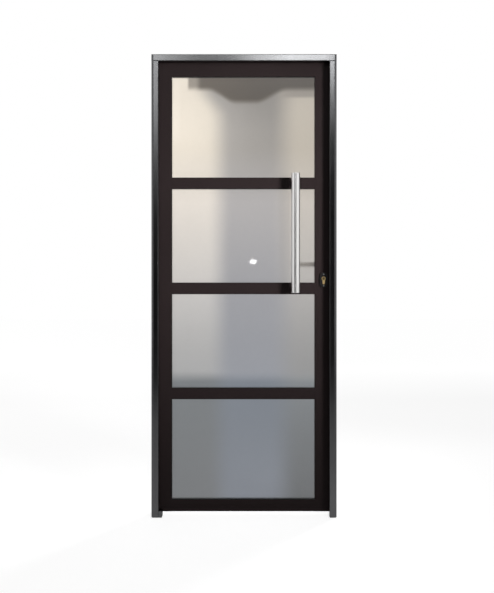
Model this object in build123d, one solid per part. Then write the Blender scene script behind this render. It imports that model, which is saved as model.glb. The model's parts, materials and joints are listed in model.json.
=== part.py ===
from build123d import *
import os

os.makedirs("parts", exist_ok=True)

# Millimetres. X runs across the door, -Y is the outside, Z is up from the feet of the frame.
# The origin is on the floor, in the middle of the frame's width and depth.

# Door frame, folded from sheet
frame_width = 800
frame_height = 2000
frame_depth = 100
frame_sheet = 2
face_width = 30.5        # outside face of a jamb
head_height = 29         # outside face of the head
slope_width = 9          # sloping strip along the wall edge of a jamb's outside face
slope_depth = 4
rebate_line = 13         # from the wall line to the rebate that the leaf's edge faces
stop_depth = 44          # from the outside face to the back of the stop
front_lip = 12
back_lip = 12
bend_inside = 0.8
butt_gap = 0.9           # joint between a jamb's top and the head
stub_length = 15         # what is left of the tie bar at the hinge side foot
stub_height = 28
stub_depth = 40

# Holes and sleeves for the screws that hold the frame in the wall
fixing_radius = 5
fixing_outer_inset = 120  # lowest and highest fixing, from the floor and from the top
fixing_inner_inset = 600
sleeve_wall = 3

# Leaf
leaf_thickness = 45
seal_gap = 4
hinge_plate = 2
plate_gap = 1
lock_gap = 5
head_gap = 4
floor_gap = 15
hinge_stile_width = 66
top_rail_height = 71
bottom_rail_height = 52
mid_rail_height = 48
centre_rail_z = 988
rail_pitch = 459
leaf_wall = 2
flange_width = 12        # glazing flange in the plane of the outside face
flange_thickness = 3
tube_radius = 2          # rounded long edges of the leaf's tubes

# Seals of the stop
seal_width = 8
seal_clearance = 0.3

# Glazing
glass_thickness = 6
glass_bite = 8.5
gasket_thickness = 3
gasket_width = 6.5
gasket_reveal = 1.5      # how far the outside gasket shows past the flange
bead_width = 12
bead_depth = 18
bead_wall = 1.5
block_length = 80
block_inset = 60
bead_screw_inset = 150

# Butt hinges
hinge_height = 100
hinge_end_inset = 225    # centre of the lowest and highest hinge, from the leaf's ends
knuckles = 5
knuckle_radius = 7
knuckle_gap = 0.4
knuckle_clearance = 0.5  # between a knuckle and the frame
pin_radius = 3
pin_clearance = 0.06
pin_tip_radius = 5
pin_tip_height = 3
plate_depth = 34
hinge_screw_pitch = 32

# Screws: head radius, shank radius, head height
small_screw = (2.9, 1.5, 1.5)
plate_screw = (4.0, 2.0, 1.8)
screw_clearance = 0.05
hinge_screw_length = 12
cover_screw_length = 14  # through the escutcheons and the lever's rose
plate_screw_length = 10  # through the faceplate and the strike plate
bead_screw_bite = 2      # past the tube's wall

# Pull bar
bar_radius = 19
bar_wall = 1.5
bar_length = 515
bar_standoff = 67        # from the leaf's face to the bar's axis
bar_from_edge = 160.5    # from the leaf's lock edge to the bar's axis
post_radius = 10
bar_shift = 11           # the bar's middle above the middle of its posts
bar_cap = 2
cap_plug_depth = 10
bar_seat_gap = 0.05
post_bolt_radius = 4
post_bolt_bite = 22
washer_radius = 10
washer_thickness = 2
bolt_head_radius = 7
bolt_head_height = 5

# Mortice lock
backset = 35
cylinder_z = 1031
follower_rise = 62       # follower above the cylinder
case_depth = 58
case_thickness = 15
case_wall = 1.5
case_rear_gap = 1        # between the case and the stile's far wall
case_below = 75          # below the cylinder
case_above = 45          # above the follower
faceplate_width = 22
faceplate_height = 235
faceplate_thickness = 2
moving_gap = 0.5         # between a bolt and the case
latch_throw = 12
latch_height = 17
latch_rise = 11          # latch above the follower
latch_length = 24
latch_tail = 3
deadbolt_throw = 14
deadbolt_height = 28
deadbolt_rise = 10       # deadbolt above the cylinder
deadbolt_tail = 7
bolt_hole_clearance = 0.3

# Follower, spindle and inside lever
hub_radius = 9
journal_radius = 7.5
journal_clearance = 0.08
arm_length = 18
arm_width = 8
spindle_side = 8
spindle_clearance = 0.05
lug_gap = 0.8
lug_width = 2.5
rose_radius = 26
rose_thickness = 8
rose_screw_circle = 20
neck_radius = 9.5
neck_clearance = 0.1
lever_length = 140
lever_root_height = 21
lever_tip_height = 16
lever_thickness = 12
lever_projection = 45    # from the leaf's back to the lever's outer face

# Profile cylinder and its escutcheons
cylinder_length = 60
profile_radius = 8.5
profile_leg = 10
profile_height = 33
plug_radius = 6.5
plug_clearance = 0.05
cam_width = 10
cam_side_gap = 0.2
cam_ring_radius = 8.3
cam_reach = 15
cam_tooth = 8
keyway_width = 1.8
keyway_height = 8.5
keyway_depth = 9
cylinder_screw_drop = 19
cylinder_screw_radius = 2.5
escutcheon_width = 37
escutcheon_height = 66
escutcheon_thickness = 7
escutcheon_drop = 6      # its middle below the cylinder's axis
escutcheon_screw_pitch = 50
escutcheon_edge = 2.2
profile_clearance = 0.3

# Strike plate
strike_thickness = 1.5
strike_width = 24
strike_margin = 30
strike_clearance = 1

# Places worked out from the sizes above
half_width = frame_width / 2
front_y = -frame_depth / 2
back_y = frame_depth / 2
stop_back_y = front_y + stop_depth
leaf_front = stop_back_y + seal_gap
leaf_back = leaf_front + leaf_thickness
leaf_middle = (leaf_front + leaf_back) / 2
opening_edge = half_width - face_width
rebate_face = half_width - rebate_line
hinge_edge = -rebate_face + 2 * hinge_plate + plate_gap
lock_edge = rebate_face - lock_gap
head_edge = frame_height - head_height
leaf_top = frame_height - rebate_line - head_gap
leaf_bottom = floor_gap
lock_stile_width = case_depth + case_rear_gap + leaf_wall + flange_width
pane_left = hinge_edge + hinge_stile_width
pane_right = lock_edge - lock_stile_width
rail_z = [centre_rail_z - rail_pitch, centre_rail_z, centre_rail_z + rail_pitch]
half_rail = mid_rail_height / 2
pane_spans = [
    (leaf_bottom + bottom_rail_height, rail_z[0] - half_rail),
    (rail_z[0] + half_rail, rail_z[1] - half_rail),
    (rail_z[1] + half_rail, rail_z[2] - half_rail),
    (rail_z[2] + half_rail, leaf_top - top_rail_height),
]
pane_names = ["bottom", "lower", "upper", "top"]
glass_front = leaf_front + flange_thickness + gasket_thickness
glass_back = glass_front + glass_thickness
bead_front = glass_back + gasket_thickness
bead_back = bead_front + bead_depth
hinge_x = -rebate_face + hinge_plate + plate_gap / 2
hinge_y = back_y + knuckle_radius + knuckle_clearance
hinge_z = [leaf_bottom + hinge_end_inset, (leaf_bottom + leaf_top) / 2, leaf_top - hinge_end_inset]
lock_x = lock_edge - backset
follower_z = cylinder_z + follower_rise
latch_z = follower_z + latch_rise
deadbolt_z = cylinder_z + deadbolt_rise
case_front_y = leaf_middle - case_thickness / 2
case_back_y = leaf_middle + case_thickness / 2
case_mouth = lock_edge
case_rear = case_mouth - case_depth
case_low = cylinder_z - case_below
case_high = follower_z + case_above
bolt_front_y = case_front_y + case_wall + moving_gap
bolt_back_y = case_back_y - case_wall - moving_gap
faceplate_front = lock_edge + faceplate_thickness
faceplate_z = (case_low + case_high) / 2
bar_x = lock_edge - bar_from_edge
bar_y = leaf_front - bar_standoff
post_z = rail_z[1:]
bar_z = (post_z[0] + post_z[1]) / 2 + bar_shift
fixing_z = [
    fixing_outer_inset,
    fixing_inner_inset,
    frame_height - fixing_inner_inset,
    frame_height - fixing_outer_inset,
]
fixing_y = (stop_back_y + back_y) / 2


def block(x0, x1, y0, y1, z0, z1):
    """A box between two corners."""
    size = (x1 - x0, y1 - y0, z1 - z0)
    return Pos((x0 + x1) / 2, (y0 + y1) / 2, (z0 + z1) / 2) * Box(*size)


def rod_x(radius, x0, x1, y, z):
    """A round rod along X."""
    return Pos((x0 + x1) / 2, y, z) * Rot(0, 90, 0) * Cylinder(radius, x1 - x0)


def rod_y(radius, y0, y1, x, z):
    """A round rod along Y."""
    return Pos(x, (y0 + y1) / 2, z) * Rot(90, 0, 0) * Cylinder(radius, y1 - y0)


def rod_z(radius, z0, z1, x, y):
    """A round rod along Z."""
    return Pos(x, y, (z0 + z1) / 2) * Cylinder(radius, z1 - z0)


def screw(sizes, length, grow=0.0):
    """A countersunk screw, its head's face at the origin and its shank along -Z. grow makes its hole."""
    head, shank, head_height = sizes
    profile = Polyline(
        (0, grow),
        (head + 2 * grow, grow),
        (shank + grow, -head_height),
        (shank + grow, -length),
        (0, -length),
        close=True,
    )
    return revolve(Plane.XZ * make_face(profile), Axis.Z)


def frame_section(front, face):
    """A folded section: X runs from the wall line, Y is the depth. front is its run of corners up to the face."""
    outside = bend_inside + frame_sheet
    corners = [
        *front,
        (face, front_y),
        (face, stop_back_y),
        (rebate_line, stop_back_y),
        (rebate_line, back_y),
        (0, back_y),
        (0, back_y - back_lip),
    ]
    radii = [outside] * (len(corners) - 2)
    radii[len(front) + 1] = bend_inside
    line = FilletPolyline(*corners, radius=radii)
    return make_face(offset(line, amount=frame_sheet, side=Side.LEFT))


def jamb_section():
    front = [(0, front_y + slope_depth + front_lip), (0, front_y + slope_depth), (slope_width, front_y)]
    return frame_section(front, face_width)


def head_section():
    return frame_section([(0, front_y + front_lip), (0, front_y)], head_height)


def jamb():
    """The hinge side jamb, with its top notched round the head."""
    plane = Plane(origin=(-half_width, 0, 0), x_dir=(1, 0, 0), z_dir=(0, 0, 1))
    top = frame_height - rebate_line - butt_gap
    bar = extrude(plane * jamb_section(), amount=top)
    relief = stop_back_y + bend_inside + butt_gap
    notch = block(-half_width - 1, 0, front_y - 1, relief, head_edge - butt_gap, top + 1)
    bar -= notch
    for z in fixing_z:
        bar -= rod_x(fixing_radius, -half_width, -opening_edge, fixing_y, z)
    return bar


def hinge_jamb():
    bar = jamb()
    for place in hinge_screw_places(-1):
        bar -= place * screw(plate_screw, hinge_screw_length, screw_clearance)
    return bar


def lock_jamb():
    bar = mirror(jamb(), about=Plane.YZ)
    for low, high in strike_openings(strike_clearance):
        side = strike_clearance
        bar -= block(
            rebate_face - 1,
            rebate_face + frame_sheet + 1,
            bolt_front_y - side,
            bolt_back_y + side,
            low,
            high,
        )
    for z in strike_screw_z():
        bar -= Pos(rebate_face - strike_thickness, leaf_middle, z) * Rot(0, -90, 0) * screw(
            small_screw, plate_screw_length, screw_clearance
        )
    return bar


def head():
    """The head lies over both jambs. Folded tabs and a strip with the jambs' slope close its ends."""
    plane = Plane(origin=(-half_width, 0, frame_height), x_dir=(0, 0, -1), z_dir=(1, 0, 0))
    bar = extrude(plane * head_section(), amount=frame_width)
    half = frame_sheet / 2
    outline = Polyline(
        (frame_sheet, front_y + slope_depth + frame_sheet),
        (head_height - half, front_y + slope_depth + frame_sheet),
        (head_height - half, stop_back_y - half),
        (rebate_line - half, stop_back_y - half),
        (rebate_line - half, back_y - half),
        (frame_sheet, back_y - half),
        close=True,
    )
    tab = extrude(plane * make_face(outline), amount=frame_sheet)
    wedge = Polyline(
        (-half_width - 1, front_y - 1),
        (-half_width + slope_width, front_y - 1),
        (-half_width + slope_width, front_y),
        (-half_width, front_y + slope_depth),
        (-half_width - 1, front_y + slope_depth),
        close=True,
    )
    cut = extrude(Plane.XY.offset(head_edge - 1) * make_face(wedge), amount=head_height + 2)
    strip = Polyline(
        (-half_width, front_y + slope_depth),
        (-half_width + slope_width, front_y),
        (-half_width + slope_width, front_y + frame_sheet),
        (-half_width + frame_sheet, front_y + slope_depth + 2 * frame_sheet),
        (-half_width, front_y + slope_depth + 2 * frame_sheet),
        close=True,
    )
    low = head_edge + bend_inside
    end = extrude(Plane.XY.offset(low) * make_face(strip), amount=head_height - 2 * bend_inside) + tab
    return bar - cut - mirror(cut, about=Plane.YZ) + end + mirror(end, about=Plane.YZ)


def tie_bar_stub():
    """A short length of the tube that tied the feet together, left on the hinge jamb."""
    x0, x1 = -opening_edge, -opening_edge + stub_length
    tube = block(x0, x1, front_y, front_y + stub_depth, 0, stub_height)
    tube = fillet(tube.edges().filter_by(Axis.X), bend_inside)
    hollow = block(
        x0,
        x1,
        front_y + frame_sheet,
        front_y + stub_depth - frame_sheet,
        frame_sheet,
        stub_height - frame_sheet,
    )
    return tube - hollow


def stop_seals():
    """Strips on the back of the stop that the closed leaf rests against."""
    y0, y1 = stop_back_y, leaf_front - seal_clearance
    inner = (opening_edge + rebate_face - seal_width) / 2
    head_low = (head_edge + frame_height - rebate_line - seal_width) / 2
    strips = []
    for side in (-1, 1):
        x0, x1 = sorted((side * inner, side * (inner + seal_width)))
        strips.append(block(x0, x1, y0, y1, leaf_bottom, head_low - butt_gap))
    strips.append(block(-inner - seal_width, inner + seal_width, y0, y1, head_low, head_low + seal_width))
    edge = (y1 - y0) / 2 - 0.2
    return [fillet(s.edges().group_by(Axis.Y)[-1], edge) for s in strips]


def fixing_sleeves():
    """Spacers between the rebate's sheet and the wall line, one behind each fixing hole."""
    sleeves = []
    for side in (-1, 1):
        x0, x1 = sorted((side * (rebate_face + frame_sheet), side * half_width))
        for z in fixing_z:
            tube = rod_x(fixing_radius + sleeve_wall, x0, x1, fixing_y, z)
            sleeves.append(tube - rod_x(fixing_radius, x0, x1, fixing_y, z))
    return sleeves


def tube_section(x0, x1, y0, y1, flange_low, flange_high):
    """A closed tube with a glazing flange in its outside face, at the low X side, the high one or both."""
    radius = min(tube_radius, (x1 - x0) / 4)
    tube = Pos((x0 + x1) / 2, (y0 + y1) / 2) * Rectangle(x1 - x0, y1 - y0)
    back = tube.vertices().group_by(Axis.Y)[-1]
    tube = fillet(back, radius)
    front = tube.vertices().group_by(Axis.Y)[0].sort_by(Axis.X)
    if not flange_low:
        tube = fillet(front[0:1], radius)
    if not flange_high:
        front = tube.vertices().group_by(Axis.Y)[0].sort_by(Axis.X)
        tube = fillet(front[-1:], radius)
    bore = Pos((x0 + x1) / 2, (y0 + y1) / 2) * Rectangle(x1 - x0 - 2 * leaf_wall, y1 - y0 - 2 * leaf_wall)
    left = x0 - flange_width if flange_low else x0 + leaf_wall
    right = x1 + flange_width if flange_high else x1 - leaf_wall
    flange = Pos((left + right) / 2, y0 + flange_thickness / 2) * Rectangle(right - left, flange_thickness)
    return tube + flange - bore


def stile(tube_low, tube_high, flange_low, flange_high):
    """A full height stile, its two ends closed by welded plates."""
    section = tube_section(tube_low, tube_high, leaf_front, leaf_back, flange_low, flange_high)
    bar = extrude(Plane.XY.offset(leaf_bottom) * section, amount=leaf_top - leaf_bottom)
    for z in (leaf_bottom, leaf_top - leaf_wall):
        bar += block(
            tube_low + leaf_wall / 2,
            tube_high - leaf_wall / 2,
            leaf_front + leaf_wall / 2,
            leaf_back - leaf_wall / 2,
            z,
            z + leaf_wall,
        )
    return bar


def hinge_stile():
    bar = stile(hinge_edge, pane_left - flange_width, False, True)
    for place in hinge_screw_places(1):
        bar -= place * screw(plate_screw, hinge_screw_length, screw_clearance)
    return bar - bead_screw_holes()


def lock_stile():
    bar = stile(pane_right + flange_width, lock_edge, True, False)
    mouth = case_thickness / 2 + bolt_hole_clearance
    bar -= block(
        lock_edge - leaf_wall - 1,
        lock_edge + 1,
        leaf_middle - mouth,
        leaf_middle + mouth,
        case_low - bolt_hole_clearance,
        case_high + bolt_hole_clearance,
    )
    bar -= euro_profile(leaf_front - 1, leaf_back + 1, profile_clearance)
    bar -= rod_y(hub_radius + 2, leaf_back - leaf_wall - 1, leaf_back + 1, lock_x, follower_z)
    for place in escutcheon_screw_places() + rose_screw_places():
        bar -= place * screw(small_screw, cover_screw_length, screw_clearance)
    for place in faceplate_screw_places():
        bar -= place * screw(small_screw, plate_screw_length, screw_clearance)
    return bar - bead_screw_holes()


def rail(z_low, z_high, flange_low, flange_high):
    """A tube across the leaf between the stiles, cut back where their flanges run through."""
    plane = Plane(origin=(0, 0, 0), x_dir=(0, 0, 1), z_dir=(-1, 0, 0))
    section = tube_section(z_low, z_high, leaf_front, leaf_back, flange_low, flange_high)
    left, right = pane_left - flange_width, pane_right + flange_width
    bar = Pos(right, 0, 0) * extrude(plane * section, amount=right - left)
    y0, y1 = leaf_front - 1, leaf_front + flange_thickness
    z0, z1 = z_low - flange_width - 1, z_high + flange_width + 1
    bar -= block(left - 1, pane_left, y0, y1, z0, z1)
    bar -= block(pane_right, right + 1, y0, y1, z0, z1)
    return bar - bead_screw_holes()


def mid_rail(z):
    half = half_rail - flange_width
    bar = rail(z - half, z + half, True, True)
    for bolt_z in post_z:
        bar -= rod_y(post_bolt_radius + 0.3, leaf_front - 1, leaf_back + 1, bar_x, bolt_z)
    return bar


def ring(x0, x1, z0, z1, width, y0, y1):
    """A rectangular ring inside the given outline."""
    outer = block(x0, x1, y0, y1, z0, z1)
    return outer - block(x0 + width, x1 - width, y0, y1, z0 + width, z1 - width)


def glass_pane(span):
    bite = glass_bite
    pane = block(pane_left - bite, pane_right + bite, glass_front, glass_back, span[0] - bite, span[1] + bite)
    return chamfer(pane.edges().filter_by(Axis.Y, reverse=True), 0.5)


def outer_gasket(span):
    grow = gasket_width - gasket_reveal
    y0 = leaf_front + flange_thickness
    return ring(
        pane_left - grow, pane_right + grow, span[0] - grow, span[1] + grow, gasket_width, y0, glass_front
    )


def inner_gasket(span):
    grow = gasket_width - gasket_reveal
    return ring(
        pane_left - grow, pane_right + grow, span[0] - grow, span[1] + grow, gasket_width, glass_back, bead_front
    )


def bead_bar(length):
    """A hollow glazing bead along X, its inner long edges rounded, lying at the origin."""
    section = RectangleRounded(bead_depth, bead_width, bead_wall) - Rectangle(
        bead_depth - 2 * bead_wall, bead_width - 2 * bead_wall
    )
    return extrude(Plane.YZ * section, amount=length / 2, both=True)


def glazing_bead(span):
    """The removable bead of a pane: full width bars below and above, and two uprights between them."""
    left, right = pane_left - flange_width, pane_right + flange_width
    low, high = span[0] - flange_width, span[1] + flange_width
    middle_y = (bead_front + bead_back) / 2
    level = bead_bar(right - left)
    upright = Rot(0, 90, 0) * bead_bar(high - low - 2 * bead_width)
    half = bead_width / 2
    pieces = [
        Pos((left + right) / 2, middle_y, low + half) * level,
        Pos((left + right) / 2, middle_y, high - half) * level,
        Pos(left + half, middle_y, (low + high) / 2) * upright,
        Pos(right - half, middle_y, (low + high) / 2) * upright,
    ]
    holes = bead_screw_holes([span])
    return [piece - holes for piece in pieces]


def bead_screw_places(spans):
    """Where each bead screw's head sits: on the bead's face towards the pane."""
    middle_y = (bead_front + bead_back) / 2
    inner = bead_width - flange_width
    left, right = pane_left + inner, pane_right - inner
    places = []
    for low, high in spans:
        for x in (left + bead_screw_inset, right - bead_screw_inset):
            places.append(Pos(x, middle_y, low + inner))
            places.append(Pos(x, middle_y, high - inner) * Rot(180, 0, 0))
        for z in (low + bead_screw_inset, high - bead_screw_inset):
            places.append(Pos(left, middle_y, z) * Rot(0, 90, 0))
            places.append(Pos(right, middle_y, z) * Rot(0, -90, 0))
    return places


def bead_screw_holes(spans=None):
    spans = pane_spans if spans is None else spans
    length = bead_width + leaf_wall + bead_screw_bite
    return [place * screw(small_screw, length, screw_clearance) for place in bead_screw_places(spans)]


def bead_screws():
    length = bead_width + leaf_wall + bead_screw_bite
    return [place * screw(small_screw, length) for place in bead_screw_places(pane_spans)]


def setting_blocks():
    """Two thin blocks under each pane carry the glass on the rail."""
    blocks = []
    for low, high in pane_spans:
        for x in (pane_left + block_inset, pane_right - block_inset - block_length):
            blocks.append(
                block(x, x + block_length, glass_front, glass_back, low - flange_width, low - glass_bite)
            )
    return blocks


def hinge_plate_piece(z, own, plate_x, mark):
    """One half of a butt hinge: a plate on the rebate or the leaf's edge, and its own knuckles."""
    low = z - hinge_height / 2
    step = hinge_height / knuckles
    clear = knuckle_radius + knuckle_clearance + 0.1
    piece = block(
        plate_x, plate_x + hinge_plate, back_y - plate_depth, hinge_y - clear, low, low + hinge_height
    )
    for n in own:
        z0, z1 = low + n * step + knuckle_gap / 2, low + (n + 1) * step - knuckle_gap / 2
        piece += block(plate_x, plate_x + hinge_plate, hinge_y - clear, hinge_y, z0, z1)
        piece += rod_z(knuckle_radius, z0, z1, hinge_x, hinge_y)
    piece -= rod_z(pin_radius + pin_clearance, low, low + hinge_height, hinge_x, hinge_y)
    for place in hinge_screw_places(mark, [z]):
        piece -= place * screw(plate_screw, hinge_screw_length, screw_clearance)
    return piece


def hinge_screw_places(mark, heights=None):
    """Heads of the hinge screws: mark -1 for the plate on the jamb, 1 for the plate on the leaf."""
    heights = hinge_z if heights is None else heights
    x = -rebate_face + hinge_plate if mark < 0 else hinge_edge - hinge_plate
    turn = 90 if mark < 0 else -90
    y = back_y - plate_depth * 0.55
    places = []
    for z in heights:
        for step in (-1, 0, 1):
            places.append(Pos(x, y, z + step * hinge_screw_pitch) * Rot(0, turn, 0))
    return places


def hinge_pins():
    pins = []
    half = hinge_height / 2
    for z in hinge_z:
        profile = Polyline(
            (0, -half - pin_tip_height),
            (pin_tip_radius - 1.5, -half - pin_tip_height),
            (pin_tip_radius, -half - pin_tip_height / 2),
            (pin_tip_radius, -half),
            (pin_radius, -half),
            (pin_radius, half),
            (pin_tip_radius, half),
            (pin_tip_radius, half + pin_tip_height / 2),
            (pin_tip_radius - 1.5, half + pin_tip_height),
            (0, half + pin_tip_height),
            close=True,
        )
        pins.append(Pos(hinge_x, hinge_y, z) * revolve(Plane.XZ * make_face(profile), Axis.Z))
    return pins


def pull_bar():
    low = bar_z - bar_length / 2 + bar_cap
    high = bar_z + bar_length / 2 - bar_cap
    tube = rod_z(bar_radius, low, high, bar_x, bar_y)
    return tube - rod_z(bar_radius - bar_wall, low, high, bar_x, bar_y)


def pull_bar_caps():
    caps = []
    for side in (-1, 1):
        end = bar_z + side * bar_length / 2
        z0, z1 = sorted((end, end - side * bar_cap))
        disc = rod_z(bar_radius, z0, z1, bar_x, bar_y)
        disc = chamfer(disc.edges().sort_by(Axis.Z)[-1 if side > 0 else 0], 0.6)
        z0, z1 = sorted((end - side * bar_cap, end - side * (bar_cap + cap_plug_depth)))
        caps.append(disc + rod_z(bar_radius - bar_wall - bar_seat_gap, z0, z1, bar_x, bar_y))
    return caps


def pull_bar_posts():
    """Round posts from the leaf's face to the bar, hollowed to its curve and drilled for their bolts."""
    posts = []
    for z in post_z:
        post = rod_y(post_radius, bar_y, leaf_front, bar_x, z)
        post -= rod_z(bar_radius + bar_seat_gap, z - 30, z + 30, bar_x, bar_y)
        post -= rod_y(post_bolt_radius, leaf_front - post_bolt_bite, leaf_front, bar_x, z)
        posts.append(post)
    return posts


def pull_bar_washers():
    washers = []
    for z in post_z:
        disc = rod_y(washer_radius, leaf_back, leaf_back + washer_thickness, bar_x, z)
        washers.append(disc - rod_y(post_bolt_radius + 0.3, leaf_back, leaf_back + washer_thickness, bar_x, z))
    return washers


def pull_bar_bolts():
    """Bolts from the inside, through the rails into the posts, with round heads."""
    bolts = []
    seat = leaf_back + washer_thickness
    for z in post_z:
        shank = rod_y(post_bolt_radius - 0.02, leaf_front - post_bolt_bite + 1, seat, bar_x, z)
        cap = rod_y(bolt_head_radius, seat, seat + bolt_head_height, bar_x, z)
        cap = fillet(cap.edges().sort_by(Axis.Y)[-1], bolt_head_height / 2)
        socket = Pos(bar_x, seat + bolt_head_height, z) * Rot(90, 0, 0) * extrude(
            RegularPolygon(2.9, 6), amount=bolt_head_height / 2
        )
        bolts.append(shank + cap - socket)
    return bolts


def euro_profile(y0, y1, grow=0.0):
    """The profile cylinder's outline, a round top on a narrow leg, extruded along Y."""
    leg_low = cylinder_z + profile_radius - profile_height
    half = profile_leg / 2
    body = rod_y(profile_radius + grow, y0, y1, lock_x, cylinder_z)
    body += block(lock_x - half - grow, lock_x + half + grow, y0, y1, leg_low + half, cylinder_z)
    body += rod_y(half + grow, y0, y1, lock_x, leg_low + half)
    return body


def cylinder_body():
    y0, y1 = leaf_middle - cylinder_length / 2, leaf_middle + cylinder_length / 2
    body = euro_profile(y0, y1)
    body -= rod_y(plug_radius + plug_clearance, y0, y1, lock_x, cylinder_z)
    cam_half = cam_width / 2 + cam_side_gap
    body -= rod_y(cam_reach + 0.6, leaf_middle - cam_half, leaf_middle + cam_half, lock_x, cylinder_z)
    screw_z = cylinder_z - cylinder_screw_drop
    return body - rod_x(cylinder_screw_radius, lock_x - 3, lock_x + profile_leg, leaf_middle, screw_z)


def plug(side):
    """One half of the core, with a keyway cut into its face. side -1 is the outside half."""
    near = leaf_middle + side * (cam_width / 2 + cam_side_gap)
    far = leaf_middle + side * cylinder_length / 2
    y0, y1 = sorted((near, far))
    core = rod_y(plug_radius, y0, y1, lock_x, cylinder_z)
    core = chamfer(core.edges().sort_by(Axis.Y)[0 if side < 0 else -1], 0.4)
    s0, s1 = sorted((far + side, far - side * keyway_depth))
    half = keyway_width / 2
    slot = block(lock_x - half, lock_x + half, s0, s1, cylinder_z - keyway_height / 2, cylinder_z + keyway_height / 2)
    return core - slot


def cylinder_cam():
    half = cam_width / 2
    cam = rod_y(cam_ring_radius, leaf_middle - half, leaf_middle + half, lock_x, cylinder_z)
    tooth = block(-cam_reach + 2, 0, -half, half, -cam_tooth / 2, cam_tooth / 2)
    tooth += rod_y(cam_tooth / 2, -half, half, -cam_reach + cam_tooth / 2, 0)
    return cam + Pos(lock_x, leaf_middle, cylinder_z) * Rot(0, -60, 0) * tooth


def cylinder_screw():
    z = cylinder_z - cylinder_screw_drop
    return rod_x(cylinder_screw_radius - 0.02, lock_x - 2, faceplate_front, leaf_middle, z)


def escutcheon(side):
    """An oval cover round the cylinder. side -1 is the outside one."""
    face = leaf_front if side < 0 else leaf_back
    out = face + side * escutcheon_thickness
    z = cylinder_z - escutcheon_drop
    half_span = (escutcheon_height - escutcheon_width) / 2
    y0, y1 = sorted((face, out))
    radius = escutcheon_width / 2
    body = block(lock_x - radius, lock_x + radius, y0, y1, z - half_span, z + half_span)
    body += rod_y(radius, y0, y1, lock_x, z - half_span)
    body += rod_y(radius, y0, y1, lock_x, z + half_span)
    rim = body.edges().group_by(Axis.Y)[0 if side < 0 else -1]
    body = fillet(rim, escutcheon_edge)
    body -= euro_profile(y0 - 1, y1 + 1, profile_clearance)
    for place in escutcheon_screw_places((side,)):
        body -= place * screw(small_screw, cover_screw_length, screw_clearance)
    return body


def escutcheon_screw_places(sides=(-1, 1)):
    places = []
    for side in sides:
        y = leaf_front - escutcheon_thickness if side < 0 else leaf_back + escutcheon_thickness
        for step in (-1, 1):
            z = cylinder_z - escutcheon_drop + step * escutcheon_screw_pitch / 2
            places.append(Pos(lock_x, y, z) * Rot(-90 * side, 0, 0))
    return places


def rose_screw_places():
    places = []
    for angle in (90, 210, 330):
        spot = Vector(rose_screw_circle, 0, 0).rotate(Axis.Y, angle)
        places.append(Pos(lock_x + spot.X, leaf_back + rose_thickness, follower_z + spot.Z) * Rot(-90, 0, 0))
    return places


def lever_rose():
    disc = rod_y(rose_radius, leaf_back, leaf_back + rose_thickness, lock_x, follower_z)
    disc = fillet(disc.edges().sort_by(Axis.Y)[-1], 2.5)
    disc -= rod_y(neck_radius + neck_clearance, leaf_back, leaf_back + rose_thickness, lock_x, follower_z)
    for place in rose_screw_places():
        disc -= place * screw(small_screw, cover_screw_length, screw_clearance)
    return disc


def inside_lever():
    """A round neck and a flat tapered blade that points towards the hinges."""
    outer = leaf_back + lever_projection
    root, tip = lever_root_height / 2, lever_tip_height / 2
    neck = rod_y(neck_radius, leaf_back + 1, outer - lever_thickness / 2, lock_x, follower_z)
    reach = lever_length - tip
    outline = make_hull(
        [
            *Circle(root).edges(),
            *(Pos(-reach, 0) * Circle(tip)).edges(),
        ]
    )
    plane = Plane(origin=(lock_x, outer, follower_z), x_dir=(1, 0, 0), z_dir=(0, -1, 0))
    blade = extrude(plane * outline, amount=lever_thickness)
    blade = fillet(blade.edges().group_by(Axis.Y)[-1], 2.5)
    blade = fillet(blade.edges().group_by(Axis.Y)[0], 2.5)
    half = spindle_side / 2 + spindle_clearance
    pocket = block(
        lock_x - half,
        lock_x + half,
        leaf_back,
        spindle_end() + 0.2,
        follower_z - half,
        follower_z + half,
    )
    return neck + blade - pocket


def spindle_end():
    return leaf_back + lever_projection - lever_thickness - 6


def lever_spindle():
    half = spindle_side / 2
    return block(
        lock_x - half, lock_x + half, case_front_y, spindle_end(), follower_z - half, follower_z + half
    )


def follower():
    """The lock's hub: journals in the case, a square hole and an arm behind the latch's lug."""
    inner0, inner1 = case_front_y + case_wall + 0.3, case_back_y - case_wall - 0.3
    hub = rod_y(journal_radius, case_front_y, case_back_y, lock_x, follower_z)
    hub += rod_y(hub_radius, inner0, inner1, lock_x, follower_z)
    half = arm_width / 2
    arm_back = bolt_back_y - latch_tail - moving_gap
    hub += block(
        lock_x - half,
        lock_x + half,
        bolt_front_y,
        arm_back,
        follower_z,
        follower_z + arm_length,
    )
    side = spindle_side / 2 + spindle_clearance
    return hub - block(
        lock_x - side, lock_x + side, case_front_y - 1, case_back_y + 1, follower_z - side, follower_z + side
    )


def latch_bolt():
    """The sprung latch: a nose bevelled on its closing side, and a tail plate with a lug."""
    nose_end = faceplate_front + latch_throw
    z0, z1 = latch_z - latch_height / 2, latch_z + latch_height / 2
    nose = block(nose_end - latch_length, nose_end, bolt_front_y, bolt_back_y, z0, z1)
    bevel = Polyline(
        (faceplate_front + 0.5, bolt_front_y),
        (nose_end + 1, bolt_back_y - 1.5),
        (nose_end + 1, bolt_front_y - 1),
        (faceplate_front + 0.5, bolt_front_y - 1),
        close=True,
    )
    nose -= extrude(Plane.XY.offset(z0) * make_face(bevel), amount=latch_height)
    lug_face = lock_x - arm_width / 2 - lug_gap
    tail_y = bolt_back_y - latch_tail
    tail_low = follower_z + hub_radius + lug_gap
    tail = block(lug_face - lug_width, nose_end - latch_length, tail_y, bolt_back_y, tail_low, z1)
    lug = block(lug_face - lug_width, lug_face, bolt_front_y, bolt_back_y, tail_low, z1)
    return nose + tail + lug


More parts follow.
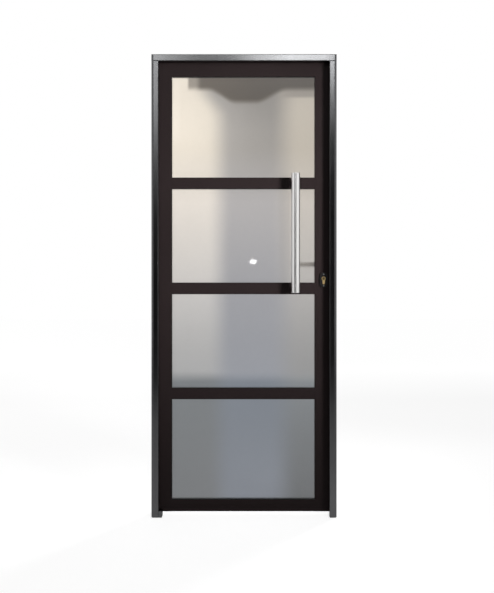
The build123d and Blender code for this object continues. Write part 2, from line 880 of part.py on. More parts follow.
def deadbolt():
    """The bolt that the key throws, flush with the faceplate at rest, with its tail over the cam."""
    z0, z1 = deadbolt_z - deadbolt_height / 2, deadbolt_z + deadbolt_height / 2
    front = faceplate_front
    clear = cam_reach + 2
    bolt = block(lock_x + clear, front, bolt_front_y, bolt_back_y, z0, z1)
    tail_low = max(z1 - deadbolt_tail, cylinder_z + clear)
    tail = block(lock_x - cam_reach, lock_x + clear, bolt_front_y, bolt_front_y + latch_tail, tail_low, z1)
    return bolt + tail


def strike_openings(extra):
    """The heights of the latch's and the deadbolt's openings in the strike and the jamb."""
    spans = []
    for middle, height in ((latch_z, latch_height), (deadbolt_z, deadbolt_height)):
        half = height / 2 + strike_clearance + extra
        spans.append((middle - half, middle + half))
    return spans


def strike_span():
    low = strike_openings(0)[1][0] - strike_margin
    high = strike_openings(0)[0][1] + strike_margin
    return low, high


def strike_screw_z():
    low, high = strike_span()
    return low + strike_margin / 2, high - strike_margin / 2


def strike_plate():
    low, high = strike_span()
    x0, x1 = rebate_face - strike_thickness, rebate_face
    half = strike_width / 2
    plate = block(x0, x1, leaf_middle - half, leaf_middle + half, low, high)
    plate = fillet(plate.edges().filter_by(Axis.X), 3)
    for z0, z1 in strike_openings(0):
        y0, y1 = bolt_front_y - strike_clearance, bolt_back_y + strike_clearance
        plate -= block(x0 - 1, x1 + 1, y0, y1, z0, z1)
    for z in strike_screw_z():
        plate -= Pos(x0, leaf_middle, z) * Rot(0, -90, 0) * screw(small_screw, plate_screw_length, screw_clearance)
    return plate


def strike_screws():
    x = rebate_face - strike_thickness
    return [Pos(x, leaf_middle, z) * Rot(0, -90, 0) * screw(small_screw, plate_screw_length) for z in strike_screw_z()]


def faceplate_screw_places():
    inset = faceplate_height / 2 - 11
    return [Pos(faceplate_front, leaf_middle, faceplate_z + step * inset) * Rot(0, 90, 0) for step in (-1, 1)]


def lock_faceplate():
    half, tall = faceplate_width / 2, faceplate_height / 2
    plate = block(
        lock_edge, faceplate_front, leaf_middle - half, leaf_middle + half, faceplate_z - tall, faceplate_z + tall
    )
    plate = fillet(plate.edges().filter_by(Axis.X), 3)
    for middle, height in ((latch_z, latch_height), (deadbolt_z, deadbolt_height)):
        side = height / 2 + bolt_hole_clearance
        y0, y1 = bolt_front_y - bolt_hole_clearance, bolt_back_y + bolt_hole_clearance
        plate -= block(lock_edge - 1, faceplate_front + 1, y0, y1, middle - side, middle + side)
    z = cylinder_z - cylinder_screw_drop
    plate -= rod_x(cylinder_screw_radius, lock_edge - 1, faceplate_front + 1, leaf_middle, z)
    for place in faceplate_screw_places():
        plate -= place * screw(small_screw, plate_screw_length, screw_clearance)
    return plate


def case_holes():
    y0, y1 = case_front_y - 1, case_back_y + 1
    profile = euro_profile(y0, y1, profile_clearance)
    return profile + rod_y(journal_radius + journal_clearance, y0, y1, lock_x, follower_z)


def lock_case():
    """The case's folded tray, open towards the faceplate and closed by a cover on its outside face."""
    wall = case_wall
    tray = block(case_rear, case_mouth, case_front_y + wall, case_back_y, case_low, case_high)
    tray -= block(
        case_rear + wall, case_mouth, case_front_y, case_back_y - wall, case_low + wall, case_high - wall
    )
    return tray - case_holes()


def lock_case_cover():
    cover = block(case_rear, case_mouth, case_front_y, case_front_y + case_wall, case_low, case_high)
    return cover - case_holes()


parts = {
    "hinge_jamb": hinge_jamb(),
    "lock_jamb": lock_jamb(),
    "frame_head": head(),
    "tie_bar_stub": tie_bar_stub(),
    "stop_seals": stop_seals(),
    "fixing_sleeves": fixing_sleeves(),
    "strike_plate": strike_plate(),
    "strike_screws": strike_screws(),
    "hinge_pins": hinge_pins(),
    "hinge_stile": hinge_stile(),
    "lock_stile": lock_stile(),
    "top_rail": rail(leaf_top - top_rail_height + flange_width, leaf_top, True, False),
    "bottom_rail": rail(leaf_bottom, leaf_bottom + bottom_rail_height - flange_width, False, True),
    "outer_gaskets": [outer_gasket(span) for span in pane_spans],
    "inner_gaskets": [inner_gasket(span) for span in pane_spans],
    "bead_screws": bead_screws(),
    "setting_blocks": setting_blocks(),
    "pull_bar": pull_bar(),
    "pull_bar_caps": pull_bar_caps(),
    "pull_bar_posts": pull_bar_posts(),
    "pull_bar_washers": pull_bar_washers(),
    "pull_bar_bolts": pull_bar_bolts(),
    "lock_case": lock_case(),
    "lock_case_cover": lock_case_cover(),
    "lock_faceplate": lock_faceplate(),
    "latch_bolt": latch_bolt(),
    "deadbolt": deadbolt(),
    "follower": follower(),
    "lever_spindle": lever_spindle(),
    "inside_lever": inside_lever(),
    "lever_rose": lever_rose(),
    "outside_escutcheon": escutcheon(-1),
    "inside_escutcheon": escutcheon(1),
    "cylinder_body": cylinder_body(),
    "outer_plug": plug(-1),
    "inner_plug": plug(1),
    "cylinder_cam": cylinder_cam(),
    "cylinder_screw": cylinder_screw(),
    "faceplate_screws": [place * screw(small_screw, plate_screw_length) for place in faceplate_screw_places()],
    "escutcheon_screws": [
        place * screw(small_screw, cover_screw_length) for place in escutcheon_screw_places() + rose_screw_places()
    ],
    "hinge_jamb_screws": [place * screw(plate_screw, hinge_screw_length) for place in hinge_screw_places(-1)],
    "hinge_leaf_screws": [place * screw(plate_screw, hinge_screw_length) for place in hinge_screw_places(1)],
}
for name, z in zip(("lower_rail", "centre_rail", "upper_rail"), rail_z):
    parts[name] = mid_rail(z)
for name, span in zip(pane_names, pane_spans):
    parts[name + "_glass"] = glass_pane(span)
    parts[name + "_bead"] = glazing_bead(span)
for name, z in zip(("lower", "middle", "upper"), hinge_z):
    parts[name + "_hinge_jamb_plate"] = hinge_plate_piece(z, (0, 2, 4), -rebate_face, -1)
    parts[name + "_hinge_leaf_plate"] = hinge_plate_piece(z, (1, 3), hinge_edge - hinge_plate, 1)

for name, shape in parts.items():
    solids = shape if isinstance(shape, list) else [shape]
    flat = [solid for piece in solids for solid in piece.solids()]
    export_step(flat[0] if len(flat) == 1 else Compound(flat), f"parts/{name}.step")
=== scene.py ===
"""A glazed steel entrance door in its folded frame, under plain studio light."""

import json
import math

import bmesh
import bpy
import numpy as np
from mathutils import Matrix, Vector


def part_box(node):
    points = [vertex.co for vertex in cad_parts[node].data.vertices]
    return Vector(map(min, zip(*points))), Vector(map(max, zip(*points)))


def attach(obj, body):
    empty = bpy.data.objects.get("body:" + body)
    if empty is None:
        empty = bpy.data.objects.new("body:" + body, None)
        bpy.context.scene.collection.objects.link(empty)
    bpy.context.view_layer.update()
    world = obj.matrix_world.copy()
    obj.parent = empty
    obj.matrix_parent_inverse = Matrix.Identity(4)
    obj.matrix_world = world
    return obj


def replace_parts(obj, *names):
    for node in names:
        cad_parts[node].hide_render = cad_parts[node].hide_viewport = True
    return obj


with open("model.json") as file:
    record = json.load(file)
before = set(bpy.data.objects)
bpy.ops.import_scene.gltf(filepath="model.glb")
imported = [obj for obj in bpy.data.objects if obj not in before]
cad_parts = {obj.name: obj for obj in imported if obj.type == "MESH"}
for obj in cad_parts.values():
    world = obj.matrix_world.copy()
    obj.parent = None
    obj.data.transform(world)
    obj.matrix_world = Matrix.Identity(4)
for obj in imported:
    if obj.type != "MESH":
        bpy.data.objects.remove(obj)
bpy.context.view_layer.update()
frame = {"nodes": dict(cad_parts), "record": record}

# Places on the door in millimetres. X runs from the hinge side to the lock side, Y from the outside
# to the inside, and Z up from the floor.
pane_left, pane_right = -316, 309
pane_spans = ((67, 505), (553, 964), (1012, 1423), (1471, 1912))
lock_x, lock_y = 347, 20.5
cylinder_z, lever_z = 1031, 1093


# Materials

# Nearly all of a noise lies between these two values.
noise_low, noise_high = 0.3, 0.7


class Wiring:
    """The nodes of one material or world, and the sums that are made with them."""

    def __init__(self, tree, coordinates):
        self.tree = tree
        self.place = self.add("ShaderNodeTexCoord").outputs[coordinates]

    def add(self, kind, **settings):
        node = self.tree.nodes.new(kind)
        for key, value in settings.items():
            setattr(node, key, value)
        return node

    def feed(self, target, value):
        """Sets a socket to a number or a colour, or joins another node's output to it."""
        if isinstance(value, (int, float)):
            target.default_value = value
        elif isinstance(value, tuple):
            target.default_value = (*value, 1)
        else:
            self.tree.links.new(value, target)

    def axis(self, letter):
        """One coordinate of the point."""
        node = self.add("ShaderNodeSeparateXYZ")
        self.feed(node.inputs[0], self.place)
        return node.outputs[letter]

    def math(self, operation, *values):
        node = self.add("ShaderNodeMath", operation=operation)
        for target, value in zip(node.inputs, values):
            self.feed(target, value)
        return node.outputs[0]

    def remap(self, source, low, high, to_low, to_high):
        """to_low where the source is at low or under it, to_high at high or over it, and straight
        between."""
        node = self.add("ShaderNodeMapRange")
        ends = {"From Min": low, "From Max": high, "To Min": to_low, "To Max": to_high}
        for key, value in ends.items():
            self.feed(node.inputs[key], value)
        self.feed(node.inputs["Value"], source)
        return node.outputs["Result"]

    def soft(self, source, low, high, to_low=0, to_high=1):
        """As remap, but easing in and out."""
        result = self.remap(source, low, high, to_low, to_high)
        result.node.interpolation_type = "SMOOTHSTEP"
        return result

    def mix(self, factor, first, second, blend="MIX", data="RGBA"):
        """The first where the factor is 0 and the second, or its blend with the first, at 1."""
        node = self.add("ShaderNodeMix", data_type=data, blend_type=blend)
        for key, value in (("Factor", factor), ("A", first), ("B", second)):
            self.feed([s for s in node.inputs if s.name == key and s.enabled][0], value)
        return [s for s in node.outputs if s.enabled][0]

    def ray_is(self, *kinds):
        """1 for rays of the named kinds, 0 for the rest."""
        path = self.add("ShaderNodeLightPath")
        total = path.outputs[kinds[0]]
        for kind in kinds[1:]:
            total = self.math("MAXIMUM", total, path.outputs[kind])
        return total


class Finish(Wiring):
    """One material: a shader, and the patterns on Object coordinates that feed it."""

    def __init__(self, name):
        self.material = bpy.data.materials.new(name)
        self.material.use_nodes = True
        super().__init__(self.material.node_tree, "Object")
        self.shader = self.tree.nodes["Principled BSDF"]

    def set(self, **values):
        """Values that are the same all over, on the shader's own sockets."""
        for key, value in values.items():
            self.feed(self.shader.inputs[key.replace("_", " ")], value)

    def noise(self, scale, detail=4, rough=0.5, stretch=(1, 1, 1)):
        """A noise of scale waves a metre, drawn out along the axes where stretch is small."""
        mapping = self.add("ShaderNodeMapping")
        mapping.inputs["Scale"].default_value = stretch
        self.feed(mapping.inputs["Vector"], self.place)
        node = self.add("ShaderNodeTexNoise")
        for key, value in (("Scale", scale), ("Detail", detail), ("Roughness", rough)):
            self.feed(node.inputs[key], value)
        self.feed(node.inputs["Vector"], mapping.outputs["Vector"])
        return node.outputs["Fac"]

    def ramp(self, source, *stops):
        """Straight runs between stops: (value, grey) or (value, (r, g, b))."""
        node = self.add("ShaderNodeValToRGB")
        marks = node.color_ramp.elements
        while len(marks) < len(stops):
            marks.new(0.5)
        for mark, (spot, tone) in zip(marks, stops):
            mark.position = spot
            tone = (tone,) * 3 if isinstance(tone, (int, float)) else tone
            mark.color = (*tone, 1)
        self.feed(node.inputs["Fac"], source)
        return node.outputs["Color"]

    def tones(self, noise, low, high):
        """A colour between two, as the noise has it."""
        return self.ramp(noise, (noise_low, low), (noise_high, high))

    def colour(self, source):
        self.feed(self.shader.inputs["Base Color"], source)

    def roughness(self, noise, low, high):
        """A roughness between two, as the noise has it."""
        uneven = self.remap(noise, noise_low, noise_high, low, high)
        self.feed(self.shader.inputs["Roughness"], uneven)

    def rounded(self, radius):
        """The surface's direction with its edges rounded, in the shading, to a radius in metres."""
        node = self.add("ShaderNodeBevel", samples=4)
        self.feed(node.inputs["Radius"], radius)
        return node.outputs["Normal"]

    def bump(self, source, strength, depth, edge=0.0):
        """Relief of a depth in metres, over edges rounded to the edge radius."""
        node = self.add("ShaderNodeBump")
        for key, value in (("Strength", strength), ("Distance", depth), ("Height", source)):
            self.feed(node.inputs[key], value)
        if edge:
            self.feed(node.inputs["Normal"], self.rounded(edge))
        self.feed(self.shader.inputs["Normal"], node.outputs["Normal"])

    def worn_edges(self, radius, amount):
        """The amount on the edges of a piece and 0 on its faces: the less the rounded direction
        agrees with the flat face's own, the nearer the edge."""
        flat = self.add("ShaderNodeNewGeometry").outputs["True Normal"]
        agreement = self.add("ShaderNodeVectorMath", operation="DOT_PRODUCT")
        self.feed(agreement.inputs[0], self.rounded(radius))
        self.feed(agreement.inputs[1], flat)
        return self.remap(agreement.outputs["Value"], 0.98, 0.8, 0, amount)


def frame_paint():
    """Smooth dark metallic paint: fine flakes, faint orange peel and slightly rubbed folds."""
    f = Finish("dark_grey_paint")
    flakes = f.remap(f.noise(2600, 2), 0.45, 0.7, 0, 0.5)
    tone = f.tones(f.noise(3.0, 3), (0.078, 0.079, 0.082), (0.098, 0.099, 0.101))
    tone = f.mix(flakes, tone, (0.19, 0.19, 0.195))
    tone = f.mix(f.worn_edges(0.0012, 0.35), tone, (0.24, 0.24, 0.25))
    f.colour(tone)
    f.roughness(f.noise(9, 4), 0.17, 0.21)
    f.bump(f.noise(260, 2), 0.05, 0.00004)
    f.set(Metallic=1.0)
    return f.material


def leaf_paint():
    """Satin brown-black powder coat with its fine grain."""
    f = Finish("brown_black_coat")
    grain = f.remap(f.noise(900, 2), 0.5, 0.75, 0, 0.3)
    tone = f.tones(f.noise(2.2, 3), (0.0185, 0.0133, 0.0136), (0.0225, 0.0162, 0.0166))
    f.colour(f.mix(grain, tone, (0.032, 0.025, 0.025)))
    f.roughness(f.noise(14, 4), 0.46, 0.56)
    f.bump(f.noise(700, 3), 0.22, 0.0006, 0.0008)
    f.set(Specular_IOR_Level=0.05)
    return f.material


def satin_glass():
    """Etched glass with a smooth outer skin: milky, with painted reflections and painted shade of
    the surroundings that make it uneven across the panes and darker towards the floor.

    Runs of painted tone over the height stand side by side and melt into each other: the hinge
    side's colours, and greys of painted shade that multiply them in the middle and at the lock
    side. Towards the top the middle widens to the hinge side and the lock side turns grey, and a
    painted dark band lies along the top edge, lower in the middle. Its end at the hinge side is
    paler.
    """
    f = Finish("etched_glass")
    across, up = f.axis("X"), f.axis("Z")
    height = f.remap(up, 0.0, 2.0, 0, 1)
    # the hinge side's milky tone with painted light: warm where a cream wall shows through, and
    # painted shade darkening it towards the floor
    hinge_side_tone_and_painted_light = f.ramp(
        height,
        (0.045, (0.26, 0.27, 0.28)),
        (0.290, (0.31, 0.33, 0.345)),
        (0.313, (0.62, 0.62, 0.62)),
        (0.475, (0.68, 0.66, 0.64)),
        (0.68, (0.82, 0.76, 0.69)),
        (0.80, (0.605, 0.55, 0.47)),
        (0.925, (0.495, 0.45, 0.385)),
    )
    # painted shade over the middle of the panes
    middle = f.ramp(
        height,
        (0.045, 1.20),
        (0.290, 1.08),
        (0.313, 0.80),
        (0.50, 0.61),
        (0.84, 0.61),
        (0.925, 0.50),
    )
    middle = f.mix(1.0, middle, (0.965, 1.0, 1.09), "MULTIPLY")
    # painted shade over the lock side of the panes
    lock_side_painted_shade = f.ramp(
        height,
        (0.045, 0.74),
        (0.175, 0.97),
        (0.290, 1.20),
        (0.313, 0.77),
        (0.70, 0.78),
        (0.875, 1.0),
    )
    widening = f.math("MULTIPLY", f.soft(up, 1.73, 1.86), 0.07)
    shade = f.mix(f.soft(f.math("ADD", across, widening), -0.165, -0.050), (1.0, 1.0, 1.0), middle)
    shade = f.mix(f.soft(across, 0.110, 0.245), shade, lock_side_painted_shade)
    # a painted grey reflection in the top pane's lock side corner
    painted_grey_corner = f.math("MULTIPLY", f.soft(up, 1.814, 1.832), f.soft(across, 0.14, 0.19))
    shade = f.mix(painted_grey_corner, shade, (0.62, 0.62, 0.64))
    # a painted dark band along the top pane's top edge, lower in the middle and paler at its hinge
    # side end
    in_middle = f.math("MULTIPLY", f.soft(across, -0.16, -0.035), f.soft(across, 0.05, 0.19, 1, 0))
    painted_dark_band = f.soft(f.math("ADD", up, f.math("MULTIPLY", in_middle, 0.056)), 1.843, 1.876)
    painted_band_pale_end = f.math("MULTIPLY", painted_dark_band, f.soft(across, -0.252, -0.238))
    painted_band_dark_part = f.math("MULTIPLY", painted_dark_band, f.soft(across, -0.215, -0.185))
    shade = f.mix(painted_band_pale_end, shade, (0.40, 0.39, 0.39))
    shade = f.mix(painted_band_dark_part, shade, (0.17, 0.16, 0.155))
    # the milky tone multiplied by the painted shade and reflections
    milky_tone_and_painted_light = f.mix(1.0, hinge_side_tone_and_painted_light, shade, "MULTIPLY")
    mottle = f.tones(f.noise(60, 5, 0.6), 0.97, 1.0)
    f.colour(f.mix(1.0, milky_tone_and_painted_light, mottle, "MULTIPLY"))
    f.set(Transmission_Weight=0.94, Roughness=0.30, IOR=1.45, Specular_IOR_Level=0.2)
    f.set(Coat_Weight=0.25, Coat_Roughness=0.015)
    return f.material


def brushed_steel():
    """Stainless steel drawn upwards: streaks a few hundredths of a millimetre wide, some longer
    than others."""
    f = Finish("drawn_stainless")
    drawn_out = (1.0, 1.0, 0.012)
    streaks = f.mix(0.4, f.noise(5200, 5, 0.65, drawn_out), f.noise(420, 3, 0.5, drawn_out))
    f.colour(f.ramp(streaks, (0.35, (0.864, 0.855, 0.837)), (0.65, (0.936, 0.927, 0.918))))
    f.roughness(streaks, 0.28, 0.34)
    f.bump(streaks, 0.015, 0.0001, 0.0005)
    f.set(Metallic=1.0)
    return f.material


def black_metal():
    """Black satin coating with edges rubbed a little brighter."""
    f = Finish("black_coating")
    f.colour(f.mix(f.worn_edges(0.0006, 0.25), (0.010, 0.009, 0.009), (0.05, 0.047, 0.045)))
    f.roughness(f.noise(180, 4), 0.50, 0.62)
    f.bump(f.noise(1500, 3), 0.12, 0.0003, 0.0006)
    f.set(Specular_IOR_Level=0.25)
    return f.material


def satin_brass():
    """Satin brass mottled by handling. The plugs are painted dark brown as painted shade of the
    keyway and the gap round the plug, and their faces are turned: fine rings are the sine of the
    distance from the cylinder's axis."""
    ring_sine, plug_radius, blend = 14000, 0.0065, 0.00005
    f = Finish("handled_brass")
    sideways = f.math("SUBTRACT", f.axis("X"), lock_x / 1000)
    upwards = f.math("SUBTRACT", f.axis("Z"), cylinder_z / 1000)
    squares = f.math("ADD", f.math("POWER", sideways, 2), f.math("POWER", upwards, 2))
    from_axis = f.math("SQRT", squares)
    rings = f.remap(f.math("SINE", f.math("MULTIPLY", from_axis, ring_sine)), -1, 1, 0, 1)
    # the plugs' dark brown is painted shade of the keyway and the gap round the plug
    plug_painted_shade = f.ramp(rings, (0, (0.16, 0.11, 0.06)), (1, (0.24, 0.17, 0.09)))
    body = f.tones(f.noise(90, 5, 0.6), (0.78, 0.56, 0.24), (0.92, 0.70, 0.36))
    f.colour(f.mix(f.soft(from_axis, plug_radius - blend, plug_radius + blend), plug_painted_shade, body))
    f.roughness(f.noise(400, 4), 0.42, 0.56)
    f.bump(f.noise(2600, 2), 0.06, 0.0002, 0.0003)
    f.set(Metallic=1.0)
    return f.material


def zinc_plate():
    """Zinc plated steel, cool and lightly mottled."""
    f = Finish("zinc_plating")
    f.colour(f.tones(f.noise(240, 5, 0.6), (0.36, 0.37, 0.38), (0.52, 0.53, 0.54)))
    f.roughness(f.noise(500, 3), 0.34, 0.50)
    f.bump(f.noise(1800, 2), 0.08, 0.0002, 0.0004)
    f.set(Metallic=1.0)
    return f.material


def black_rubber():
    """Matt black rubber with a fine bloom."""
    f = Finish("black_seal_rubber")
    f.colour(f.tones(f.noise(70, 4), 0.012, 0.022))
    f.roughness(f.noise(300, 3), 0.62, 0.78)
    f.bump(f.noise(2200, 3), 0.15, 0.0003)
    return f.material


def black_plastic():
    """Black moulded plastic with a fine matt texture."""
    f = Finish("black_moulded_plastic")
    f.colour(f.tones(f.noise(50, 3), 0.022, 0.034))
    f.roughness(f.noise(260, 3), 0.48, 0.60)
    f.bump(f.noise(1200, 3), 0.12, 0.0003)
    return f.material


finishes = {
    "frame_grey": frame_paint(),
    "leaf_dark": leaf_paint(),
    "satin_glass": satin_glass(),
    "stainless": brushed_steel(),
    "black_metal": black_metal(),
    "brass": satin_brass(),
    "zinc_steel": zinc_plate(),
    "seal_rubber": black_rubber(),
    "block_plastic": black_plastic(),
}
for entry in frame["record"]["subparts"]:
    slots = frame["nodes"][entry["node"]].data.materials
    for i in range(len(slots)):
        slots[i] = finishes[entry["material_slot"]]


# Pieces made here, in millimetres


def closed_faces(rows, columns, wrap=False):
    """Quads between neighbouring points of a grid whose columns run round in a loop. wrap joins the
    last row to the first, and without it a flat face closes each of the two."""
    i, j = np.meshgrid(np.arange(rows if wrap else rows - 1), np.arange(columns), indexing="ij")
    here, above = i * columns, (i + 1) % rows * columns
    beside = (j + 1) % columns
    quads = np.stack((here + j, here + beside, above + beside, above + j), -1)
    faces = quads.reshape(-1, 4).tolist()
    if not wrap:
        faces += [list(range(columns))[::-1], list(range((rows - 1) * columns, rows * columns))]
    return faces


def copies(points, wrap=False):
    """The faces of several equal grids: points is copies by rows by columns by 3."""
    count, rows, columns = points.shape[:3]
    one = closed_faces(rows, columns, wrap)
    return [[corner + k * rows * columns for corner in face] for k in range(count) for face in one]


def add_piece(name, points, faces, body, finish, old, sharp=40):
    """A new mesh that stands for CAD nodes, smooth but for edges sharper than an angle in
    degrees."""
    mesh = bpy.data.meshes.new(name)
    mesh.from_pydata((points.reshape(-1, 3) / 1000).tolist(), [], faces)
    shell = bmesh.new()
    shell.from_mesh(mesh)
    bmesh.ops.recalc_face_normals(shell, faces=shell.faces)
    shell.to_mesh(mesh)
    shell.free()
    mesh.shade_smooth()
    mesh.set_sharp_from_angle(angle=math.radians(sharp))
    mesh.materials.append(finishes[finish])
    thing = bpy.data.objects.new(name, mesh)
    bpy.context.scene.collection.objects.link(thing)
    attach(thing, body)
    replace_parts(thing, old) if isinstance(old, str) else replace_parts(thing, *old)


def turned(profile, steps, x, y):
    """A profile of (radius, height) points turned about an upright axis at x, y: each point's
    circle is radius times the cosine and sine of the angle."""
    radius, height = np.array(profile, float).T[:, :, None]
    angle = np.linspace(0, 2 * np.pi, steps, endpoint=False)[None]
    across, along = x + radius * np.cos(angle), y + radius * np.sin(angle)
    return np.stack((across, along, height + 0 * angle), -1)


def corner_arc(radius, centre_r, centre_z, start, end, steps):
    """Points of a profile on a circle's arc between two angles in degrees."""
    angle = np.radians(np.linspace(start, end, steps))
    return list(zip(centre_r + radius * np.cos(angle), centre_z + radius * np.sin(angle)))


def pull_bar():
    """A 38 mm bar with rounded cap ends, each cap parted from the tube by a fine groove. The upper
    end is the lower one's mirror image."""
    x, y, low, high, radius = 221.5, -69.0, 971.0, 1486.0, 18.98
    flat, rounding, groove = 6, 1.2, 0.25
    end = [(flat, low), *corner_arc(rounding, radius - rounding, low + rounding, -90, 0, 7)]
    for out, up in ((radius, 1.85), (radius - groove, 2.0), (radius - groove, 2.2), (radius, 2.35)):
        end.append((out, low + up))
    other_end = [(out, low + high - z) for out, z in reversed(end)]
    points = turned(end + other_end, 96, x, y)
    faces = closed_faces(*points.shape[:2])
    add_piece("pull_bar_turned", points, faces, "leaf", "stainless", ("pull_bar", "pull_bar_caps"))


def lip_ring(profile, low, high):
    """A profile carried round a pane with mitred corners. A point's first number is how far it lies
    outside the pane's opening, its second the depth: at a corner both sides move out by the
    first."""
    out, depth = np.array(profile, float).T[:, None, :]
    corners = ((pane_left, low), (pane_right, low), (pane_right, high), (pane_left, high))
    corner = np.array(corners)[..., None]
    side = np.array([(-1, -1), (1, -1), (1, 1), (-1, 1)])[..., None]
    x = corner[:, 0] + side[:, 0] * out
    z = corner[:, 1] + side[:, 1] * out
    return np.stack((x, depth + 0 * x, z), -1)


def gaskets(name, near, far, old):
    """The four rubber rings on one face of the glass, between two depths. The lip that lies on the
    pane is half a circle, and the tail has two ribs."""
    middle, half = (near + far) / 2, (far - near) / 2
    angle = np.radians(np.linspace(90, 270, 9))
    lip = list(zip(half * np.cos(angle), middle + half * np.sin(angle)))
    rib = 0.35
    ribs = ((1.5, 0), (1.9, rib), (2.3, 0), (3.3, 0), (3.7, rib), (4.1, 0), (5, 0))
    tail = [(out, near + step) for out, step in ribs]
    tail += [(out, far - step) for out, step in reversed(ribs)]
    rings = np.stack([lip_ring(lip + tail, *span) for span in pane_spans])
    add_piece(name, rings, copies(rings, wrap=True), "leaf", "seal_rubber", old, 50)


def cross_outline(angle, arm, half_width):
    """How far the edge of a cross recess is from the middle, at an angle: an arm's end where the
    angle is near an arm's middle, and the arm's side elsewhere."""
    near = np.abs((angle + np.pi / 4) % (np.pi / 2) - np.pi / 4)
    arm_end = arm / np.cos(near)
    arm_side = half_width / np.maximum(np.sin(near), 1e-6)
    return np.where(np.tan(near) <= half_width / arm, arm_end, arm_side)


def screws(name, places, size, length, body, old):
    """Countersunk screws with a cross recess, each row of whose grid is a loop round the axis.
    places are (x, y, z, facing), size is the head's radius, the shank's radius and the head's
    height, and each screw is turned a little further than the one before it."""
    head, shank, head_height = size
    arm, half_width, deep = head * 0.62, head * 0.15, head * 0.45
    corner = np.arctan(half_width / arm)
    quarter = np.array([0, corner, (corner + np.pi / 4) / 2, np.pi / 4])
    quarter = np.concatenate((quarter, np.pi / 2 - quarter[2:0:-1]))
    angle = (quarter + np.arange(4)[:, None] * np.pi / 2).ravel()
    cross = cross_outline(angle, arm, half_width)
    loops = (
        # the recess: its floor and its edge
        (cross * 0.25, -deep),
        (cross * 0.82, -deep * 0.8),
        (cross, -0.04),
        # the flat face and the rim
        (cross * 0.5 + head * 0.40, 0),
        (head - 0.18, 0),
        (head, -0.12),
        (head, -0.2),
        # the cone's foot, the shank and the point
        (shank, -head_height),
        (shank, -length + shank),
        (0.2, -length),
    )
    radius = np.stack([out + 0 * angle for out, level in loops])
    level = np.array([level for out, level in loops])[:, None]
    facing = {
        "+X": (1, 0, 0), "-X": (-1, 0, 0),
        "+Y": (0, 1, 0), "-Y": (0, -1, 0),
        "+Z": (0, 0, 1), "-Z": (0, 0, -1),
    }
    axis = np.array([facing[place[3]] for place in places], float)
    one = np.roll(axis, 1, axis=1)
    two = np.cross(axis, one)
    turn_step = 1.1
    turn = np.arange(len(places)) * turn_step
    around = angle[None, None, :] + turn[:, None, None]
    across_one = (radius * np.cos(around))[..., None] * one[:, None, None]
    across_two = (radius * np.sin(around))[..., None] * two[:, None, None]
    along = level[None, ..., None] * axis[:, None, None]
    middle = np.array([place[:3] for place in places], float)[:, None, None]
    points = middle + across_one + across_two + along
    add_piece(name, points, copies(points), body, "zinc_steel", old, 30)


def all_screws():
    """Every countersunk screw of the door and the cylinder's own, where the CAD has them."""
    small, large, cylinder = (2.9, 1.5, 1.5), (4, 2, 1.8), (2.48, 2.48, 1)

    bead_y, from_corner = 22, 150
    beads = []
    for low, high in pane_spans:
        for x in (pane_left + from_corner, pane_right - from_corner):
            beads += [(x, bead_y, low, "+Z"), (x, bead_y, high, "-Z")]
        for z in (low + from_corner, high - from_corner):
            beads += [(pane_left, bead_y, z, "+X"), (pane_right, bead_y, z, "-X")]
    screws("bead_cross_screws", beads, small, 16, "leaf", "bead_screws")

    jamb_plate, leaf_plate, hinge_y = -385, -384, 31.3
    hinge_middles, spacing = (240, 999, 1758), 32
    hinge_z = [z + step for z in hinge_middles for step in (-spacing, 0, spacing)]
    jamb_side = [(jamb_plate, hinge_y, z, "+X") for z in hinge_z]
    leaf_side = [(leaf_plate, hinge_y, z, "-X") for z in hinge_z]
    screws("hinge_jamb_cross_screws", jamb_side, large, 12, "frame", "hinge_jamb_screws")
    screws("hinge_leaf_cross_screws", leaf_side, large, 12, "leaf", "hinge_leaf_screws")

    outside, inside, rose = -9, 50, 51
    escutcheon_z, rose_triangle = (1000, 1050), ((0, -20), (-17.32, 10), (17.32, 10))
    covers = [(lock_x, outside, z, "-Y") for z in escutcheon_z]
    covers += [(lock_x, inside, z, "+Y") for z in escutcheon_z]
    covers += [(lock_x + dx, rose, lever_z + dz, "+Y") for dx, dz in rose_triangle]
    screws("cover_cross_screws", covers, small, 14, "leaf", "escutcheon_screws")

    faceplate, strike = 384, 385.5
    faceplate_z, below_plug_z, head = (940.5, 1153.5), 1012, small[0]
    ends = [(faceplate, lock_y, z, "+X") for z in faceplate_z]
    screws("faceplate_cross_screws", ends, small, 10, "leaf", "faceplate_screws")
    below_plug = [(faceplate, lock_y, below_plug_z, "+X")]
    screws("cylinder_cross_screw", below_plug, cylinder, 39, "leaf", "cylinder_screw")
    low, high = (corner[2] * 1000 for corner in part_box("strike_screws"))
    ends = [(strike, lock_y, z, "-X") for z in (low + head, high - head)]
    screws("strike_cross_screws", ends, small, 10, "frame", "strike_screws")


pull_bar()
gaskets("outer_gasket_lips", 1, 4, "outer_gaskets")
gaskets("inner_gasket_lips", 10, 13, "inner_gaskets")
all_screws()


# Stage, in metres


